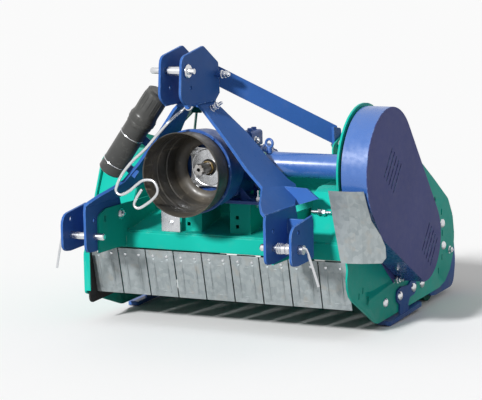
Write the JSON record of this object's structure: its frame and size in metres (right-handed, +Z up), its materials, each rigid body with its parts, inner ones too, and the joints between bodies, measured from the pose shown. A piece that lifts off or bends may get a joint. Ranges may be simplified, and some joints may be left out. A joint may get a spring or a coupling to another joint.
{
  "type": "hammer knife mower",
  "caption": "Tractor-mounted flail mower: swinging hammers on a rotor in a hooded body, with hitch frame, gearbox, shielded input shaft and covered side belt drive.",
  "frame": {"origin": "middle of the bounding box in plan, on the ground under the skids and the roller", "axes": "+Z up, -Y towards the tractor, +X towards the belt drive's side"},
  "size_m": [1.055, 1.181, 0.8939],
  "materials": {
    "green_paint": "gloss paint",
    "dark_green_paint": "satin paint",
    "blue_paint": "gloss paint",
    "zinc_plate": "zinc plated",
    "galvanised_sheet": "galvanised",
    "bare_steel": "machined",
    "black_plastic": "moulded",
    "grey_plastic": "moulded",
    "black_rubber": "matt",
    "cast_iron": "as cast",
    "blue_casting": "painted casting"
  },
  "bodies": {
    "frame": {"side_plate_left": "green_paint", "side_plate_right": "green_paint", "front_beam": "green_paint", "hood": "green_paint", "hitch_arms": "blue_paint", "clevis_left": "blue_paint", "clevis_right": "blue_paint", "mast_plate_left": "blue_paint", "mast_plate_right": "blue_paint", "strut": "blue_paint", "rear_brace": "dark_green_paint", "lower_pin_bush": "zinc_plate", "top_pin_bush": "zinc_plate", "gearbox_housing": "blue_casting", "gearbox_cover": "blue_casting", "drive_shield": "black_plastic", "shield_flange": "zinc_plate", "drive_tube": "blue_paint", "drive_belts": "black_rubber", "belt_cover": "blue_paint", "deflector": "galvanised_sheet", "rotor_bearing_left": "blue_casting", "rotor_bearing_right": "blue_casting", "flap_rod": "bare_steel", "skid_left": "blue_paint", "skid_right": "blue_paint", "roller_bracket_left": "blue_paint", "roller_bracket_right": "blue_paint", "rear_flap": "black_rubber", "document_tube": "grey_plastic"},
    "rotor": {"rotor": "dark_green_paint", "lower_pulley": "cast_iron"},
    "drive_shaft": {"drive_shaft": "bare_steel", "upper_pulley": "cast_iron"},
    "input_shaft": {"input_shaft": "bare_steel"},
    "idler_arm": {"idler_arm": "bare_steel"},
    "idler_wheel": {"idler_wheel": "cast_iron"},
    "roller": {"roller": "dark_green_paint"},
    "top_link_pin": {"top_link_pin": "zinc_plate"},
    "lower_pin_left": {"lower_pin_left": "zinc_plate"},
    "lower_pin_right": {"lower_pin_right": "zinc_plate"},
    "shaft_hook": {"shaft_hook": "zinc_plate"},
    "document_cap": {"document_cap": "grey_plastic"},
    "hammer_1": {"hammer_1": "cast_iron"},
    "hammer_2": {"hammer_2": "cast_iron"},
    "hammer_3": {"hammer_3": "cast_iron"},
    "hammer_4": {"hammer_4": "cast_iron"},
    "hammer_5": {"hammer_5": "cast_iron"},
    "hammer_6": {"hammer_6": "cast_iron"},
    "hammer_7": {"hammer_7": "cast_iron"},
    "hammer_8": {"hammer_8": "cast_iron"},
    "flap_1": {"flap_1": "galvanised_sheet"},
    "flap_2": {"flap_2": "galvanised_sheet"},
    "flap_3": {"flap_3": "galvanised_sheet"},
    "flap_4": {"flap_4": "galvanised_sheet"},
    "flap_5": {"flap_5": "galvanised_sheet"},
    "flap_6": {"flap_6": "galvanised_sheet"},
    "flap_7": {"flap_7": "galvanised_sheet"},
    "flap_8": {"flap_8": "galvanised_sheet"},
    "flap_9": {"flap_9": "galvanised_sheet"}
  },
  "joints": [
    {"name": "rotor_spin", "type": "hinge", "parent": "frame", "child": "rotor", "pos_m": [-0.0535, 0.0588, 0.2596], "axis": [1, 0, 0], "continuous": true},
    {"name": "drive_shaft_spin", "type": "hinge", "parent": "frame", "child": "drive_shaft", "pos_m": [0.45, -0.2191, 0.5165], "axis": [1, 0, 0], "continuous": true},
    {"name": "input_shaft_spin", "type": "hinge", "parent": "frame", "child": "input_shaft", "pos_m": [-0.0535, -0.4178, 0.5165], "axis": [0, 1, 0], "continuous": true},
    {"name": "idler_arm_swing", "type": "hinge", "parent": "frame", "child": "idler_arm", "pos_m": [0.4148, -0.0452, 0.37], "axis": [1, 0, 0], "range_deg": [-12, 0]},
    {"name": "idler_wheel_spin", "type": "hinge", "parent": "idler_arm", "child": "idler_wheel", "pos_m": [0.45, -0.12504, 0.32155], "axis": [1, 0, 0], "continuous": true},
    {"name": "hammer_1_swing", "type": "hinge", "parent": "rotor", "child": "hammer_1", "pos_m": [-0.4105, 0.13304, 0.33385], "axis": [1, 0, 0], "range_deg": [0, 270]},
    {"name": "hammer_2_swing", "type": "hinge", "parent": "rotor", "child": "hammer_2", "pos_m": [-0.3065, -0.01545, 0.18535], "axis": [1, 0, 0], "range_deg": [-180, 90]},
    {"name": "hammer_3_swing", "type": "hinge", "parent": "rotor", "child": "hammer_3", "pos_m": [-0.2025, -0.01545, 0.33385], "axis": [1, 0, 0], "range_deg": [-270, 0]},
    {"name": "hammer_4_swing", "type": "hinge", "parent": "rotor", "child": "hammer_4", "pos_m": [-0.0985, 0.13304, 0.18535], "axis": [1, 0, 0], "range_deg": [-90, 180]},
    {"name": "hammer_5_swing", "type": "hinge", "parent": "rotor", "child": "hammer_5", "pos_m": [0.0055, 0.13304, 0.33385], "axis": [1, 0, 0], "range_deg": [0, 270]},
    {"name": "hammer_6_swing", "type": "hinge", "parent": "rotor", "child": "hammer_6", "pos_m": [0.1095, -0.01545, 0.18535], "axis": [1, 0, 0], "range_deg": [-180, 90]},
    {"name": "hammer_7_swing", "type": "hinge", "parent": "rotor", "child": "hammer_7", "pos_m": [0.2135, -0.01545, 0.33385], "axis": [1, 0, 0], "range_deg": [-270, 0]},
    {"name": "hammer_8_swing", "type": "hinge", "parent": "rotor", "child": "hammer_8", "pos_m": [0.3175, 0.13304, 0.18535], "axis": [1, 0, 0], "range_deg": [-90, 180]},
    {"name": "flap_1_swing", "type": "hinge", "parent": "frame", "child": "flap_1", "pos_m": [-0.4346, -0.3267, 0.238], "axis": [1, 0, 0], "range_deg": [-6, 70]},
    {"name": "flap_2_swing", "type": "hinge", "parent": "frame", "child": "flap_2", "pos_m": [-0.3364, -0.3267, 0.238], "axis": [1, 0, 0], "range_deg": [-6, 70]},
    {"name": "flap_3_swing", "type": "hinge", "parent": "frame", "child": "flap_3", "pos_m": [-0.2382, -0.3267, 0.238], "axis": [1, 0, 0], "range_deg": [-6, 70]},
    {"name": "flap_4_swing", "type": "hinge", "parent": "frame", "child": "flap_4", "pos_m": [-0.14, -0.3267, 0.238], "axis": [1, 0, 0], "range_deg": [-6, 70]},
    {"name": "flap_5_swing", "type": "hinge", "parent": "frame", "child": "flap_5", "pos_m": [-0.0418, -0.3267, 0.238], "axis": [1, 0, 0], "range_deg": [-6, 70]},
    {"name": "flap_6_swing", "type": "hinge", "parent": "frame", "child": "flap_6", "pos_m": [0.0564, -0.3267, 0.238], "axis": [1, 0, 0], "range_deg": [-6, 70]},
    {"name": "flap_7_swing", "type": "hinge", "parent": "frame", "child": "flap_7", "pos_m": [0.1546, -0.3267, 0.238], "axis": [1, 0, 0], "range_deg": [-6, 70]},
    {"name": "flap_8_swing", "type": "hinge", "parent": "frame", "child": "flap_8", "pos_m": [0.2528, -0.3267, 0.238], "axis": [1, 0, 0], "range_deg": [-6, 70]},
    {"name": "flap_9_swing", "type": "hinge", "parent": "frame", "child": "flap_9", "pos_m": [0.351, -0.3267, 0.238], "axis": [1, 0, 0], "range_deg": [-6, 70]},
    {"name": "roller_spin", "type": "hinge", "parent": "frame", "child": "roller", "pos_m": [-0.0535, 0.3648, 0.05], "axis": [1, 0, 0], "continuous": true},
    {"name": "top_link_pin_slide", "type": "slide", "parent": "frame", "child": "top_link_pin", "axis": [1, 0, 0], "range_m": [0, 0.085]},
    {"name": "lower_pin_left_slide", "type": "slide", "parent": "frame", "child": "lower_pin_left", "axis": [-1, 0, 0], "range_m": [0, 0.115]},
    {"name": "lower_pin_right_slide", "type": "slide", "parent": "frame", "child": "lower_pin_right", "axis": [1, 0, 0], "range_m": [0, 0.115]},
    {"name": "shaft_hook_swing", "type": "hinge", "parent": "frame", "child": "shaft_hook", "pos_m": [-0.0435, -0.4912, 0.719], "axis": [0, 1, 0], "range_deg": [-40, 0]},
    {"name": "document_cap_slide", "type": "slide", "parent": "frame", "child": "document_cap", "axis": [0.5868, 0, 0.8097], "range_m": [0, 0.03]}
  ],
  "couplings": [
    {"joint": "drive_shaft_spin", "follows": "rotor_spin", "ratio": 0.66429},
    {"joint": "input_shaft_spin", "follows": "rotor_spin", "ratio": 0.22143},
    {"joint": "idler_wheel_spin", "follows": "rotor_spin", "ratio": 3.5769}
  ]
}
